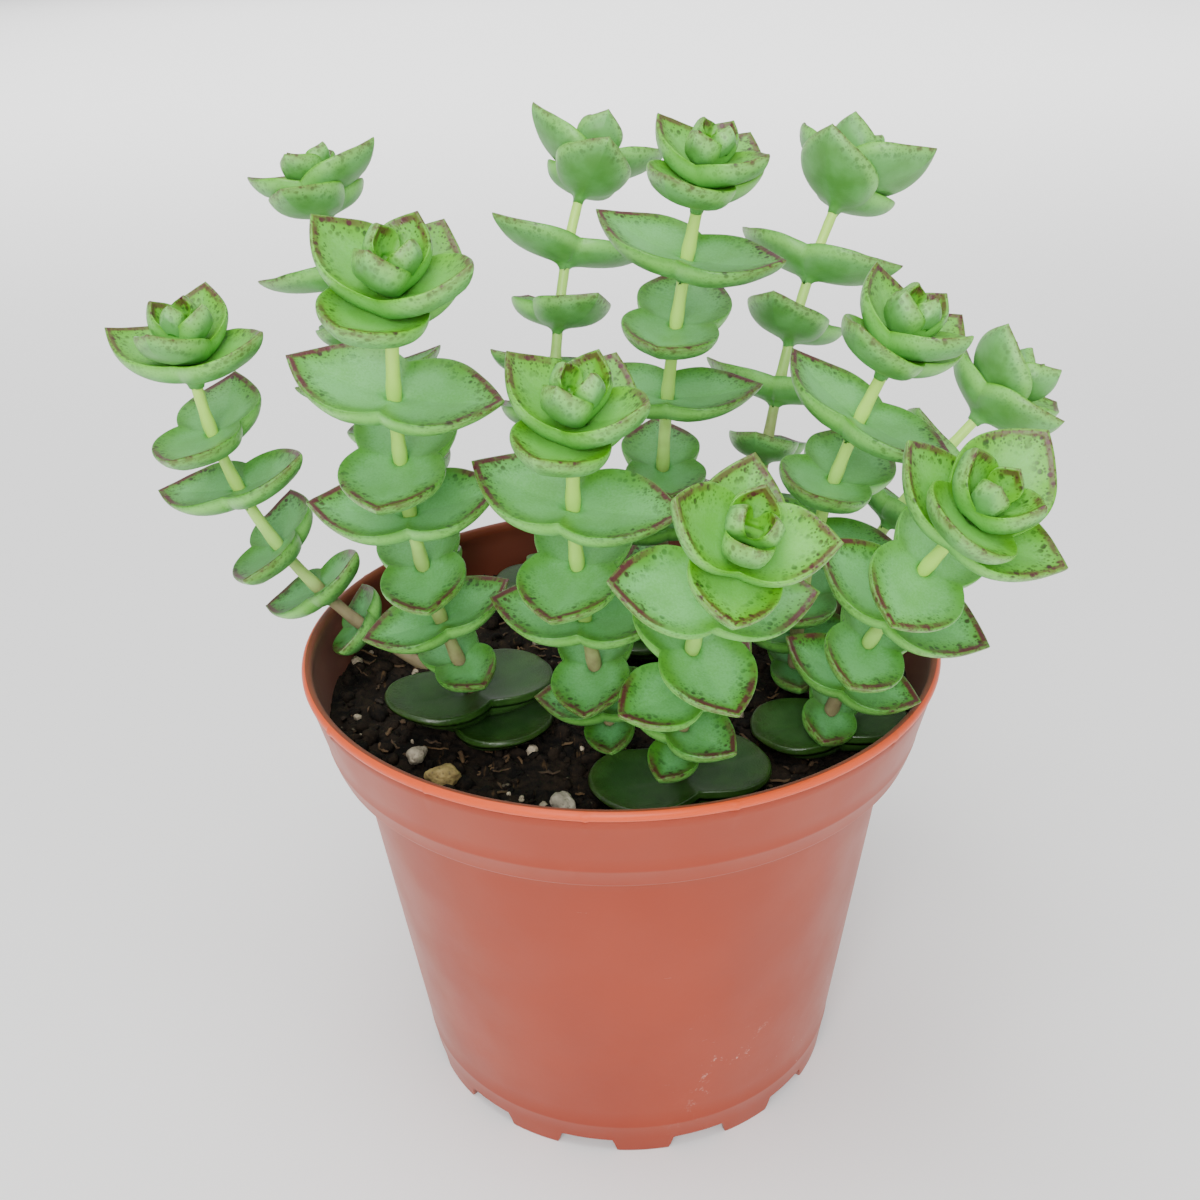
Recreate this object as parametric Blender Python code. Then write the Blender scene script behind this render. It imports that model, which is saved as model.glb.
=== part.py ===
"""Potted string of buttons: a one-piece plastic nursery pot, a plug of gritty potting mix and eleven
leafy stems of a small succulent. Metres, +Z up, the pot's axis on the Z axis and its feet at z = 0.

Each stem carries flat pairs of fused leaves, every pair turned a quarter from the one below, and ends
in a crown of nested young pairs. The leaf pairs are threaded on the stem, as on the real plant.
"""

import math

import bmesh
import bpy
from mathutils import Matrix, Vector

# ---------------------------------------------------------------- sizes, in metres
GAP = 0.0003  # air kept between two pieces that touch

POT_H = 0.0804  # feet to lip
POT_RIM_R = 0.0525  # over the lip
COLLAR_H = 0.0152  # height of the wide band under the lip
COLLAR_R = 0.0489  # outside of the band at its lower edge
WALL_TOP_R = 0.0453  # outside of the wall just under the band
POT_BASE_R = 0.0365  # outside at the feet
POT_WALL = 0.0011
LIP_H = 0.0016  # the thicker rolled lip
LIP_W = 0.0017
FOOT_H = 0.0030  # how far the wall goes on below the floor
FLOOR_T = 0.0013
FEET = 12  # feet round the skirt, with as many gaps
FOOT_SHARE = 0.5  # share of the skirt that a foot takes
FOOT_TURN = math.radians(-88)
DRAIN_R = 0.0032
DRAINS = 6
DRAIN_RING_R = 0.0255
DRAIN_TURN = math.radians(19)
POT_SIDES = 48

SOIL_DROP = 0.0099  # lip down to the soil
SOIL_BOTTOM_GAP = GAP
SOIL_HEAP = 0.0012  # how uneven the soil's top is
SOCKET_DEPTH = 0.0060  # how deep a stem stands in the soil

# pumice grains that lie on the soil: place, width and height in millimetres
PUMICE = ((-27.6, -29.4, 4.6, 3.6), (-32.4, -22.6, 3.4, 2.6), (-9.6, -37.0, 3.6, 2.8))
PUMICE_CLEAR = 0.0004  # over the highest soil under them

STEM_R = 0.00095
STEM_SIDES = 8

LEAF_WIDE = 0.49  # greatest half width of a leaf, per length
LEAF_WAIST = 0.37  # half width where two leaves join, per length
LEAF_T = 0.0031  # thickness of a full leaf near the stem
BORE_CLEAR = GAP
LEAF_FULL = 0.015  # length of a leaf that has the full thickness
OLD_T = 0.0038
OLD_WIDE = 0.64  # greatest half width of an old leaf, per length
OLD_WAIST = 0.46

# the crown's three pairs: how far up they start, and their slopes at the stem and at the tip
CROWN_RISE = (0.0031, 0.0051, 0.0073)
CROWN_LOW = (2, 20, 42)
CROWN_HIGH = (40, 58, 78)
CROWN_TURN = math.radians(87)  # from one pair of a crown to the next

SOIL_Z = POT_H - SOIL_DROP
LEAF_CLEAR = POT_H + LEAF_T  # height at which a leaf's underside is level with the lip


class Stem:
    """How one stem has grown. Lengths in millimetres, angles in degrees.

    root: where it leaves the soil. lean: the point it bends by. tip: the underside of its crown. The heights of
    lean and tip are over LEAF_CLEAR, so that leaves that hang out over the lip stay clear of it.
    turn: the way the first pair under the crown points. drift: extra turn from a pair to the next lower one.
    leaf: length of one leaf of the top pair. fade: share of that length that the lowest pair keeps.
    gaps: stem between one pair and the next, from the crown down.
    crown: length of the crown's leaves in its outer, middle and inner pair, per leaf.
    loose: pairs that are pieces of their own; the lower ones have grown one with the stem.
    old: broad first leaves at the foot, as (height over the soil, turn, length).
    cup: how far the crown's leaves close, 1 as on most stems.
    """

    def __init__(self, root, lean, tip, turn, drift, leaf, fade, gaps, crown, loose=3, old=(), cup=1.0):
        self.a = Vector((root[0] / 1000, root[1] / 1000, SOIL_Z))
        self.b = Vector((lean[0] / 1000, lean[1] / 1000, LEAF_CLEAR + lean[2] / 1000))
        self.c = Vector((tip[0] / 1000, tip[1] / 1000, LEAF_CLEAR + tip[2] / 1000))
        self.turn, self.drift, self.leaf, self.fade = turn, drift, leaf, fade
        self.gaps, self.crown, self.loose, self.old, self.cup = gaps, crown, loose, old, cup

    def at(self, t):
        return self.a * (1 - t) ** 2 + self.b * (2 * t * (1 - t)) + self.c * t * t

    def along(self, t):
        return ((self.b - self.a) * (1 - t) + (self.c - self.b) * t).normalized()

    def pairs(self):
        """(place, direction, turn, leaf length, is it old) of each pair, from the top down."""
        plan = []
        for k, gap in enumerate(self.gaps):
            share = k / max(1, len(self.gaps) - 1)
            size = self.leaf * (1 - (1 - self.fade) * share**1.6)
            plan.append((gap, self.turn + k * (90 + self.drift), size))
        found, run, wanted, steps, last = [], 0.0, 0.0, 400, self.at(1)
        first = [(SOIL_Z + height / 1000, math.radians(turn), size / 1000) for height, turn, size in self.old]
        for i in range(steps - 1, -1, -1):
            p = self.at(i / steps)
            run += (p - last).length
            last = p
            if plan and run >= wanted + plan[0][0] / 1000:
                gap, turn, size = plan.pop(0)
                wanted += gap / 1000
                found.append((p, self.along(i / steps), math.radians(turn), size / 1000, False))
            elif first and not plan and p.z <= first[0][0]:
                height, turn, size = first.pop(0)
                found.append((p, self.along(i / steps), turn, size, True))
        return found


STEMS = {
    # front left, the broad one, on two old pairs
    "a": Stem(
        (-21, -12), (-34, -19, 20), (-28.3, -34, 60.5), -16, 9, 15.4, 0.66,
        (11, 10.8, 9.8, 10.4, 11.0, 9.0), (0.92, 0.84, 0.50), old=((8.9, 35, 13.6), (4.6, -50, 13.0)),
    ),
    # far left, arching out over the lip
    "b": Stem(
        (-35, 9), (-63, 6, 10), (-64.5, 2, 43), 78, 0, 14.6, 0.62, (8.9, 10.4, 12, 10.7, 9.6), (0.97, 0.78, 0.42)
    ),
    # back left
    "c": Stem(
        (-31, 28), (-41, 33, 25), (-48.5, 40, 59), -3, 12, 14.6, 0.60, (8.8, 10.4, 9.6, 9.4, 9, 9, 8.3),
        (0.90, 0.92, 0.50), cup=0.6,
    ),
    # front, left of the middle
    "d": Stem(
        (-1, -20), (-8, -30, 19), (-6, -38, 44), -21, 5, 15.2, 0.54, (8.7, 10.6, 10.4, 10.2, 7.8, 4.8),
        (0.88, 0.78, 0.46),
    ),
    # back, the furthest
    "e": Stem(
        (-11, 31), (-12, 42, 38), (-4, 52, 59), 22, 8, 15.0, 0.60, (9.1, 11.6, 9.9, 9.1, 9.2, 9, 8.5),
        (0.95, 0.98, 0.58), old=((5.2, 5, 11.5),),
    ),
    # the middle one, the tallest
    "f": Stem(
        (9, 12), (5, 6, 29), (13, -2, 68), -24, 9, 15.6, 0.58, (8, 11, 12.4, 13, 10.5, 12, 9),
        (0.86, 0.64, 0.34), old=((5.4, 20, 12.5),), cup=0.85,
    ),
    # back right
    "g": Stem(
        (24, 27), (29, 39, 32), (42, 50, 56), -27, 3, 16.0, 0.60, (10.2, 11.8, 11.2, 11, 10.2, 9.4),
        (0.98, 1.03, 0.60), old=((5.0, -62, 11.0),),
    ),
    # right
    "h": Stem(
        (29, -4), (27, -9, 17), (39, -14, 46), -42, 8, 15.4, 0.58, (7.9, 10.7, 11.4, 10.4, 8, 6.4),
        (0.90, 0.74, 0.42),
    ),
    # far right, leaning well out
    "i": Stem(
        (37, 15), (45, 18, 7), (64, 23, 25), 40, 0, 14.0, 0.58, (9, 12, 9.0, 7), (1.0, 0.98, 0.60), loose=2
    ),
    # front right
    "j": Stem(
        (31, -19), (35, -26, 9), (44, -40, 31), 55, 3, 14.6, 0.62, (7.5, 9, 9.6, 9, 8),
        (0.92, 0.98, 0.55), old=((4.8, 14, 12.5),),
    ),
    # front, right of the middle, its crown turned forward, on one old pair
    "k": Stem(
        (8, -33), (7, -40, 17), (12.5, -53, 34), 5, 14, 14.0, 0.56, (7.8, 11.5, 9.2, 7.8, 5.2),
        (0.88, 0.84, 0.46), old=((4.9, 22, 13.8),),
    ),
}

# ---------------------------------------------------------------- ground rules
for thing in list(bpy.data.objects):
    bpy.data.objects.remove(thing, do_unlink=True)


def paint(name, rgb, rough, metal=0.0):
    m = bpy.data.materials.new(name)
    m.use_nodes = True
    s = m.node_tree.nodes["Principled BSDF"]
    s.inputs["Base Color"].default_value = (*rgb, 1)
    s.inputs["Roughness"].default_value = rough
    s.inputs["Metallic"].default_value = metal
    m.diffuse_color = (*rgb, 1)
    return m


def add(name, bm, colour, rough, smooth=True):
    bmesh.ops.recalc_face_normals(bm, faces=bm.faces)
    me = bpy.data.meshes.new(name)
    bm.to_mesh(me)
    bm.free()
    ob = bpy.data.objects.new(name, me)
    bpy.context.collection.objects.link(ob)
    if colour is not None:
        me.materials.append(paint(name, colour, rough))
    for f in me.polygons:
        f.use_smooth = smooth
    return ob


def boolean(ob, other, how):
    m = ob.modifiers.new(how.lower(), "BOOLEAN")
    m.operation, m.solver, m.object = how, "EXACT", other
    bpy.context.view_layer.objects.active = ob
    with bpy.context.temp_override(object=ob, active_object=ob, selected_objects=[ob]):
        bpy.ops.object.modifier_apply(modifier=m.name)
    bpy.data.objects.remove(other, do_unlink=True)


def lathe(profile, sides, top=None):
    """A closed turned solid from (radius, height) points that start and end on the axis."""
    bm = bmesh.new()
    rings = []
    for r, z in profile:
        if r == 0:
            rings.append([bm.verts.new((0, 0, z))])
            continue
        ring = []
        for i in range(sides):
            a = 2 * math.pi * i / sides
            ring.append(bm.verts.new((r * math.cos(a), r * math.sin(a), z)))
        rings.append(ring)
    for low, high in zip(rings, rings[1:]):
        for i in range(sides):
            j = (i + 1) % sides
            if len(low) == 1:
                bm.faces.new((low[0], high[j], high[i]))
            elif len(high) == 1:
                bm.faces.new((low[i], low[j], high[0]))
            else:
                bm.faces.new((low[i], low[j], high[j], high[i]))
    if top is not None:
        for ring in rings:
            for v in ring:
                top(v)
    return bm


# ---------------------------------------------------------------- pot
COLLAR_Z = POT_H - COLLAR_H
WALL_SLOPE = (WALL_TOP_R - POT_BASE_R) / COLLAR_Z
COLLAR_SLOPE = (POT_RIM_R - COLLAR_R) / COLLAR_H


def wall_r(z):
    """Outside of the pot at this height."""
    if z < COLLAR_Z:
        return POT_BASE_R + WALL_SLOPE * z
    return COLLAR_R + COLLAR_SLOPE * (z - COLLAR_Z)


def bore_r(z):
    """Inside of the pot at this height."""
    if z < COLLAR_Z + POT_WALL:
        return min(POT_BASE_R + WALL_SLOPE * z, WALL_TOP_R) - POT_WALL
    return wall_r(z) - POT_WALL


FLOOR_Z = FOOT_H + FLOOR_T
lip_r = POT_RIM_R - LIP_W
outline = [
    (0, FOOT_H),
    (POT_BASE_R + WALL_SLOPE * FOOT_H - POT_WALL, FOOT_H),
    (POT_BASE_R - POT_WALL, 0),
    (POT_BASE_R, 0),
    (wall_r(COLLAR_Z * 0.5), COLLAR_Z * 0.5),
    (WALL_TOP_R, COLLAR_Z),
    (COLLAR_R - 0.0004, COLLAR_Z),
    (COLLAR_R, COLLAR_Z + 0.0005),
    (wall_r(POT_H - LIP_H) - 0.0001, POT_H - LIP_H),
    (POT_RIM_R, POT_H - LIP_H * 0.7),
    (POT_RIM_R, POT_H - LIP_H * 0.3),
    (POT_RIM_R - 0.0005, POT_H),
    (lip_r + 0.0005, POT_H),
    (lip_r, POT_H - LIP_H * 0.4),
    (bore_r(POT_H - LIP_H * 1.4), POT_H - LIP_H * 1.4),
    (bore_r(COLLAR_Z + POT_WALL), COLLAR_Z + POT_WALL),
    (WALL_TOP_R - POT_WALL + WALL_SLOPE * POT_WALL, COLLAR_Z + POT_WALL),
    (bore_r(COLLAR_Z * 0.5), COLLAR_Z * 0.5),
    (bore_r(FLOOR_Z), FLOOR_Z),
    (0, FLOOR_Z),
]
pot = add("pot", lathe(outline, POT_SIDES), (0.552, 0.138, 0.080), 0.45)


def block(inner, outer, low, high, mid, half):
    """A wedge cut out of a ring, for the gaps between the feet."""
    bm = bmesh.new()
    rows = []
    for i in range(4):
        a = mid - half + 2 * half * i / 3
        rows.append(
            [
                bm.verts.new((r * math.cos(a), r * math.sin(a), z))
                for r, z in ((inner, low), (outer, low), (outer, high), (inner, high))
            ]
        )
    for p, q in zip(rows, rows[1:]):
        for i in range(4):
            j = (i + 1) % 4
            bm.faces.new((p[i], p[j], q[j], q[i]))
    bm.faces.new(rows[0])
    bm.faces.new(rows[-1])
    return add("cutter", bm, None, 0)


pitch = 2 * math.pi / FEET
for i in range(FEET):
    gap_mid = FOOT_TURN + pitch * (i + 0.5)
    boolean(
        pot,
        block(
            POT_BASE_R - 3 * POT_WALL,
            POT_BASE_R + 2 * POT_WALL,
            -FOOT_H,
            FOOT_H * 0.92,
            gap_mid,
            pitch * (1 - FOOT_SHARE) / 2,
        ),
        "DIFFERENCE",
    )
for i in range(DRAINS + 1):
    a = 2 * math.pi * i / DRAINS + DRAIN_TURN
    ring = DRAIN_RING_R if i < DRAINS else 0.0
    drill = lathe([(0, 0), (DRAIN_R, 0), (DRAIN_R, FLOOR_Z * 2), (0, FLOOR_Z * 2)], 12)
    bmesh.ops.rotate(drill, verts=drill.verts, cent=(0, 0, 0), matrix=Matrix.Rotation(DRAIN_TURN * 0.5, 3, "Z"))
    bmesh.ops.translate(drill, verts=drill.verts, vec=(ring * math.cos(a), ring * math.sin(a), -0.0005))
    boolean(pot, add("cutter", drill, None, 0), "DIFFERENCE")

# ---------------------------------------------------------------- potting mix
SOIL_SIDES = 36


def heave(v):
    """Small rise and fall of the soil's top."""
    if v.co.z < SOIL_Z - 0.0003:
        return
    x, y = v.co.x * 1000, v.co.y * 1000
    v.co.z += SOIL_HEAP * 0.5 * (math.sin(x * 0.21 + 0.6) * math.cos(y * 0.17) - 0.6 + 0.3 * math.sin(x * 0.5 + y * 0.4))


mix = lathe(
    [
        (0, FLOOR_Z + SOIL_BOTTOM_GAP),
        (bore_r(FLOOR_Z + SOIL_BOTTOM_GAP) - GAP * 1.5, FLOOR_Z + SOIL_BOTTOM_GAP),
        (bore_r(COLLAR_Z) - GAP * 1.5, COLLAR_Z - 0.0004),
        (bore_r(COLLAR_Z) - GAP * 1.5, COLLAR_Z + POT_WALL + GAP),
        (bore_r(COLLAR_Z + POT_WALL) - GAP * 1.5, COLLAR_Z + POT_WALL + GAP),
        (bore_r(SOIL_Z - 0.0012) - GAP * 2, SOIL_Z - 0.0012),
        (bore_r(SOIL_Z) - 0.0030, SOIL_Z),
        (0.0340, SOIL_Z),
        (0.0220, SOIL_Z),
        (0.0100, SOIL_Z),
        (0, SOIL_Z),
    ],
    SOIL_SIDES,
    heave,
)
soil = add("potting_mix", mix, (0.045, 0.032, 0.022), 0.95)
for stem in STEMS.values():
    drill = lathe(
        [(0, -SOCKET_DEPTH), (STEM_R + GAP, -SOCKET_DEPTH), (STEM_R + GAP, 0.006), (0, 0.006)], STEM_SIDES
    )
    turn = Vector((0, 0, 1)).rotation_difference(stem.along(0)).to_matrix().to_4x4()
    bmesh.ops.transform(drill, verts=drill.verts, matrix=Matrix.Translation(stem.a) @ turn)
    boolean(soil, add("cutter", drill, None, 0), "DIFFERENCE")

# ---------------------------------------------------------------- pumice on the soil
for i, (x, y, wide, high) in enumerate(PUMICE):
    bm = bmesh.new()
    bmesh.ops.create_icosphere(bm, subdivisions=2, radius=0.5)
    for v in bm.verts:
        lump = 1 + 0.09 * math.sin(9 * v.co.x + 3 * i) + 0.08 * math.cos(8 * v.co.y + 5 * v.co.z + i)
        v.co = Vector((v.co.x * wide * 1.15, v.co.y * wide * 0.85, v.co.z * high)) * lump / 1000
    low = min(v.co.z for v in bm.verts)
    spot = SOIL_Z + PUMICE_CLEAR - low
    bmesh.ops.transform(
        bm, verts=bm.verts, matrix=Matrix.Translation((x / 1000, y / 1000, spot)) @ Matrix.Rotation(i * 1.1, 4, "Z")
    )
    add("pumice_%d" % (i + 1), bm, (0.52, 0.47, 0.38), 0.9)

# ---------------------------------------------------------------- leaves
# One quarter of a leaf pair's edge, from the waist to the tip: along and across, per leaf length.
EDGE = [
    (0.0, LEAF_WAIST),
    (0.24, LEAF_WIDE * 0.97),
    (0.50, LEAF_WIDE * 0.92),
    (0.76, LEAF_WIDE * 0.55),
    (1.0, 0.0),
]
# The same for the old pairs, which are round and have no point.
OLD_EDGE = [
    (0.0, OLD_WAIST),
    (0.28, OLD_WIDE),
    (0.60, OLD_WIDE * 0.93),
    (0.88, OLD_WIDE * 0.56),
    (1.0, 0.0),
]


def edge_points(edge):
    right = edge[::-1]  # tip to waist, left side of the right leaf
    pts = [(x, y) for x, y in right]
    pts += [(-x, y) for x, y in edge[1:]]
    pts += [(-x, -y) for x, y in right[1:]]
    pts += [(x, -y) for x, y in edge[1:-1]]
    return pts


def bend(x, length, low, high):
    """A point of the midrib after the leaf is cupped: low and high are the slopes at stem and tip."""
    s, n = abs(x), 12
    along = up = 0.0
    for i in range(n):
        a = low + (high - low) * (i + 0.5) / n * s / length
        along += math.cos(a) * s / n
        up += math.sin(a) * s / n
    return math.copysign(along, x), up, low + (high - low) * s / length


def pair_mesh(length, thick, low, high, bore=None, raise_by=0.0, edge=EDGE):
    """A fused pair of leaves round the Z axis, the leaves pointing along X."""
    bm = bmesh.new()

    def place(x, y, drop):
        bx, bz, a = bend(x, length, low, high)
        side = math.copysign(1.0, x) if x else 0.0
        # the thickness is measured square to the cupped leaf
        return bm.verts.new((bx + side * drop * math.sin(a), y, bz - drop * math.cos(a) + raise_by))

    pts = [(x * length, y * length) for x, y in edge_points(edge)]
    rim = [place(x, y, thick * 0.16) for x, y in pts]
    belly = [place(x * 0.80, y * 0.76, thick * 0.84) for x, y in pts]
    rings = [rim, belly]
    if bore is None:
        top = bm.verts.new((0, 0, raise_by + thick * 0.10))
        low_v = bm.verts.new((0, 0, raise_by - thick))
    else:
        hub_top = []
        hub_low = []
        for x, y in pts:
            r = math.hypot(x, y)
            hub_top.append(bm.verts.new((x / r * bore, y / r * bore, raise_by)))
            hub_low.append(bm.verts.new((x / r * bore, y / r * bore, raise_by - thick)))
        rings = [hub_top, rim, belly, hub_low, hub_top]
    n = len(pts)
    for p, q in zip(rings, rings[1:]):
        for i in range(n):
            j = (i + 1) % n
            bm.faces.new((p[i], p[j], q[j], q[i]))
    if bore is None:
        for i in range(n):
            j = (i + 1) % n
            bm.faces.new((top, rim[j], rim[i]))
            bm.faces.new((low_v, belly[i], belly[j]))
    bmesh.ops.triangulate(bm, faces=bm.faces)
    bmesh.ops.recalc_face_normals(bm, faces=bm.faces)
    return bm


def stand(bm, place, up, turn):
    """Puts a pair at its place on the stem, square to it, turned about it."""
    ex = Vector((1, 0, 0))
    ex = (ex - up * ex.dot(up)).normalized()
    ey = up.cross(ex)
    frame = Matrix((ex, ey, up)).transposed().to_4x4()
    bmesh.ops.transform(bm, verts=bm.verts, matrix=Matrix.Translation(place) @ frame @ Matrix.Rotation(turn, 4, "Z"))
    return bm


LEAF_GREEN = (0.235, 0.420, 0.235)
CROWN_GREEN = (0.330, 0.520, 0.230)
STEM_GREEN = (0.420, 0.500, 0.200)

for name, stem in STEMS.items():
    # the stem itself: a tube from its socket up to just under the crown
    bm = bmesh.new()
    foot = stem.a - stem.along(0) * (SOCKET_DEPTH - GAP)
    stop = 1 - 2 * GAP / (2 * (stem.c - stem.b).length)
    path = [(foot, stem.along(0))] + [(stem.at(stop * i / 8), stem.along(stop * i / 8)) for i in range(9)]
    rings = []
    for p, d in path:
        ex = (Vector((1, 0, 0)) - d * d.x).normalized()
        ey = d.cross(ex)
        ring = []
        for i in range(STEM_SIDES):
            a = 2 * math.pi * i / STEM_SIDES
            ring.append(bm.verts.new(p + (ex * math.cos(a) + ey * math.sin(a)) * STEM_R))
        rings.append(ring)
    for p, q in zip(rings, rings[1:]):
        for i in range(STEM_SIDES):
            j = (i + 1) % STEM_SIDES
            bm.faces.new((p[i], p[j], q[j], q[i]))
    bm.faces.new(rings[0])
    bm.faces.new(rings[-1])
    shaft = add("stem_" + name, bm, STEM_GREEN, 0.5)
    for k, (place, up, turn, length, old) in enumerate(stem.pairs()):
        thick = OLD_T if old else LEAF_T * (0.75 + 0.25 * length / LEAF_FULL)
        if k < stem.loose:
            bm = pair_mesh(length, thick, math.radians(-3), math.radians(24), bore=STEM_R + BORE_CLEAR)
            add("leaves_%s%d" % (name, k + 1), stand(bm, place, up, turn), LEAF_GREEN, 0.5)
        else:
            up = Vector((0, 0, 1)) if old else up
            bm = pair_mesh(
                length, thick, math.radians(-3), math.radians(6 if old else 20), edge=OLD_EDGE if old else EDGE
            )
            boolean(shaft, add("cutter", stand(bm, place, up, turn), None, 0), "UNION")
    # the crown: three nested pairs, each a quarter turn on and steeper than the last
    up = stem.along(1)
    turn = math.radians(stem.turn - 90 - stem.drift)
    crown = None
    for i, (share, rise, low, high, thick) in enumerate(
        zip(stem.crown, CROWN_RISE, CROWN_LOW, CROWN_HIGH, (1.0, 0.9, 0.8))
    ):
        bm = pair_mesh(
            stem.leaf * share / 1000,
            LEAF_T * thick,
            math.radians(low * stem.cup),
            math.radians(high * stem.cup),
            raise_by=rise,
        )
        stand(bm, stem.c, up, turn + i * CROWN_TURN)
        if crown is None:
            crown = add("crown_" + name, bm, CROWN_GREEN, 0.5)
        else:
            boolean(crown, add("cutter", bm, None, 0), "UNION")
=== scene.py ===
import math
import random

import bmesh
import bpy
import numpy as np
from mathutils import Matrix, Vector, noise


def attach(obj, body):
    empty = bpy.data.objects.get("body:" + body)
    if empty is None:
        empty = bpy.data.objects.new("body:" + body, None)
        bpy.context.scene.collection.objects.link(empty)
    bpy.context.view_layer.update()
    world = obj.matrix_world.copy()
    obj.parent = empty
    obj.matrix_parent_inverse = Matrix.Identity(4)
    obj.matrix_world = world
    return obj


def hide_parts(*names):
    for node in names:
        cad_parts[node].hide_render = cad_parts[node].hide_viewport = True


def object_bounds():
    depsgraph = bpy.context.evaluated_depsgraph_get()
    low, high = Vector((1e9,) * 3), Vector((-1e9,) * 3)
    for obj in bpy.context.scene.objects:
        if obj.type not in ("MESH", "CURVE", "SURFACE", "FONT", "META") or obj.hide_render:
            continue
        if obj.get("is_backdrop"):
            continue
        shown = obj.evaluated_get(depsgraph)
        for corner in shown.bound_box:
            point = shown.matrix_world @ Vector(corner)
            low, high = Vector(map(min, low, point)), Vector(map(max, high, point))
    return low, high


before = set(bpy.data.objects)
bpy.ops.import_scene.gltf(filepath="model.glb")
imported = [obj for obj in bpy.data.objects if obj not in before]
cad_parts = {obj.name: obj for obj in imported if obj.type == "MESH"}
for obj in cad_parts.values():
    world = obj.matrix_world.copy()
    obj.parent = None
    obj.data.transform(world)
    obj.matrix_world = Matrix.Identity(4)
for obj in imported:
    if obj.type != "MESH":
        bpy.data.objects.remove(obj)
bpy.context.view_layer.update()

MM = 0.001

# ================================================================ pot
# A thin-walled round nursery pot, injection moulded in one shot of terracotta-coloured polypropylene.
# A wide band runs under a rolled lip, the skirt ends in short feet, and the floor has seven drain holes.
POT_H = 80.4 * MM
BAND_Z = POT_H - 15.2 * MM  # lower edge of the band
RIM_R = 52.5 * MM
BAND_R = 48.9 * MM
WALL_R = 45.3 * MM
BASE_R = 36.5 * MM
WALL = 1.1 * MM
FOOT_H = 3.0 * MM
FLOOR_Z = 4.3 * MM
FEET = 12
FOOT_TURN = math.radians(-88)
DRAINS = 6  # in a ring, round one more in the middle
DRAIN_R = 3.2 * MM
DRAIN_RING_R = 25.5 * MM
DRAIN_TURN = math.radians(19)
BAND_SLOPE = (RIM_R - BAND_R) / (POT_H - BAND_Z)


def outer(z):
    """Outside radius of the pot at a height."""
    if z < BAND_Z:
        return BASE_R + (WALL_R - BASE_R) * z / BAND_Z
    return BAND_R + BAND_SLOPE * (z - BAND_Z)


def inner(z):
    """Inside radius of the pot at a height."""
    if z < BAND_Z + WALL:
        return min(outer(z), WALL_R) - WALL
    return outer(z) - WALL


def piece(name, points, faces, marks=None):
    """A mesh object from points and faces, with named values stored on its points."""
    me = bpy.data.meshes.new(name)
    me.from_pydata([tuple(p) for p in points], [], [tuple(f) for f in faces])
    for key, values in (marks or {}).items():
        values = np.asarray(values, float)
        kind = "FLOAT_VECTOR" if values.ndim == 2 else "FLOAT"
        layer = me.attributes.new(key, kind, "POINT")
        layer.data.foreach_set("vector" if values.ndim == 2 else "value", values.ravel())
    bm = bmesh.new()
    bm.from_mesh(me)
    bmesh.ops.recalc_face_normals(bm, faces=bm.faces)
    bm.to_mesh(me)
    bm.free()
    me.polygons.foreach_set("use_smooth", [True] * len(me.polygons))
    ob = bpy.data.objects.new(name, me)
    bpy.context.scene.collection.objects.link(ob)
    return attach(ob, "root") or ob


def circle(radius, z, count):
    """Points evenly round the Z axis."""
    turns = (2 * math.pi * i / count for i in range(count))
    return [(radius * math.cos(a), radius * math.sin(a), z) for a in turns]


def grid_faces(rows, columns):
    """Quads between rows of points that run all the way round."""
    faces = []
    for r in range(rows - 1):
        low, high = r * columns, (r + 1) * columns
        for c in range(columns):
            beside = (c + 1) % columns
            faces.append((low + c, low + beside, high + beside, high + c))
    return faces


class Finish:
    """A node material, built a node at a time from numbers, colours and other nodes' results."""

    def __init__(self, name):
        self.made = bpy.data.materials.new(name)
        self.made.use_nodes = True
        self.tree = self.made.node_tree
        self.tree.nodes.clear()

    def node(self, kind, *values, out=0, **named):
        n = self.tree.nodes.new("ShaderNode" + kind)
        for key, value in named.items():
            if hasattr(n, key):
                setattr(n, key, value)
        pairs = [(n.inputs[i], v) for i, v in enumerate(values)]
        pairs += [(n.inputs[k.replace("_", " ")], v) for k, v in named.items() if not hasattr(n, k)]
        for socket, value in pairs:
            if isinstance(value, bpy.types.NodeSocket):
                self.tree.links.new(value, socket)
            elif value is not None:
                if socket.type == "RGBA" and len(value) == 3:
                    value = (*value, 1)
                socket.default_value = value
        return n.outputs[out]

    def mark(self, name, out=2):
        return self.node("Attribute", attribute_name=name, out=out)

    def sum(self, a, b, how="ADD"):
        return self.node("Math", a, b, operation=how)

    def times(self, a, b):
        return self.sum(a, b, "MULTIPLY")

    def span(self, value, low, high, to_low=0.0, to_high=1.0):
        return self.node("MapRange", value, low, high, to_low, to_high, interpolation_type="SMOOTHSTEP")

    def mix(self, share, a, b):
        n = self.tree.nodes.new("ShaderNodeMix")
        n.data_type = "RGBA"
        for socket, value in ((n.inputs[0], share), (n.inputs[6], a), (n.inputs[7], b)):
            if isinstance(value, bpy.types.NodeSocket):
                self.tree.links.new(value, socket)
            else:
                socket.default_value = value if socket.type == "VALUE" else (*value, 1)
        return n.outputs[2]

    def cloud(self, scale, detail=3.0, rough=0.5, place=None):
        where = place or self.place()
        return self.node("TexNoise", Vector=where, Scale=scale, Detail=detail, Roughness=rough)

    def place(self):
        return self.node("TexCoord", out=3)

    def bump(self, height, depth, strength=1.0, onto=None):
        return self.node("Bump", Height=height, Distance=depth, Strength=strength, Normal=onto)

    def done(self, **named):
        shader = self.node("BsdfPrincipled", **named)
        end = self.tree.nodes.new("ShaderNodeOutputMaterial")
        self.tree.links.new(shader, end.inputs[0])
        return self.made


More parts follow.
